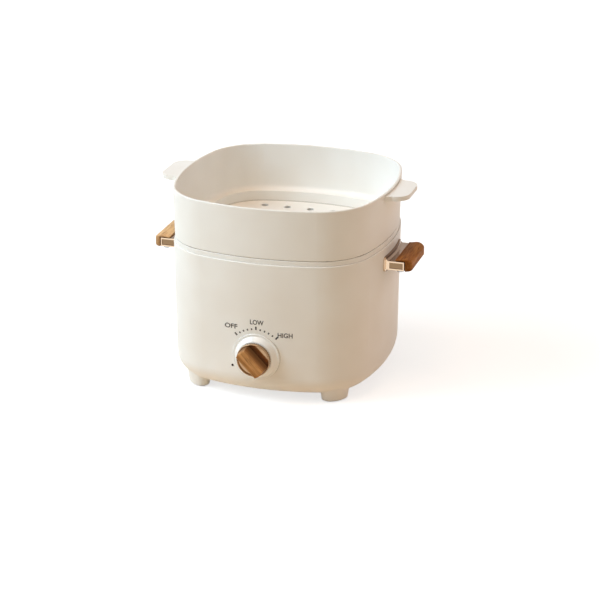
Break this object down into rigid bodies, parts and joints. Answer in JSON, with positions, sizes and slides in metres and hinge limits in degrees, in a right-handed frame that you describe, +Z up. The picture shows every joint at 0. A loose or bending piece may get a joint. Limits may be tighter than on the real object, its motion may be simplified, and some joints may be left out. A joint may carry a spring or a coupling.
{
  "type": "electric cooker",
  "caption": "Square countertop electric cooker with a fixed pot, a dial thermostat, wood-look side handles and a lift-off steamer basket.",
  "frame": {"origin": "on the counter, on the upright axis of the body", "axes": "+Z up, -Y towards the dial at the front, +X to the right as seen from the front"},
  "size_m": [0.2492, 0.2225, 0.1866],
  "materials": {
    "cream_plastic": "moulded, soft gloss",
    "pad_rubber": "moulded matte",
    "nonstick_aluminium": "sprayed non-stick coating",
    "cast_aluminium": "as cast",
    "steel": "zinc plated",
    "gold_plating": "pale gold plating, polished",
    "wood_look": "wood-grain film under lacquer",
    "black_plastic": "moulded fine texture",
    "phenolic": "moulded phenolic",
    "brass": "turned",
    "lens": "clear moulded",
    "lamp_glass": "clear glass",
    "fuse_case": "drawn case"
  },
  "bodies": {
    "base": {"outer_shell": "cream_plastic", "top_ring": "cream_plastic", "dial_bezel": "cream_plastic", "bottom_cover": "cream_plastic", "foot_pad_front_left": "pad_rubber", "foot_pad_front_right": "pad_rubber", "foot_pad_rear_left": "pad_rubber", "foot_pad_rear_right": "pad_rubber", "inner_pot": "nonstick_aluminium", "heating_plate": "cast_aluminium", "cover_screws": "steel", "heater_screws": "steel", "handle_screws": "steel", "grip_screws": "steel", "heating_element": "steel", "fuse_clip": "steel", "handle_bracket_left": "gold_plating", "handle_bracket_right": "gold_plating", "handle_grip_left": "wood_look", "handle_grip_right": "wood_look", "power_inlet": "black_plastic", "thermostat": "phenolic", "terminal_block": "phenolic", "thermostat_nut": "brass", "inlet_pins": "brass", "indicator_lens": "lens", "indicator_lamp": "lamp_glass", "thermal_fuse": "fuse_case"},
    "knob": {"dial_shaft": "steel", "knob_body": "black_plastic", "knob_dish": "gold_plating", "knob_bar": "wood_look"},
    "steamer": {"steamer_basket": "cream_plastic"}
  },
  "joints": [
    {"name": "knob_turn", "type": "hinge", "parent": "base", "child": "knob", "pos_m": [0, -0.09985, 0.0451], "axis": [0, 1, 0], "range_deg": [0, 88]},
    {"name": "steamer_lift", "type": "slide", "parent": "base", "child": "steamer", "axis": [0, 0, 1], "range_m": [0, 0.08]}
  ]
}
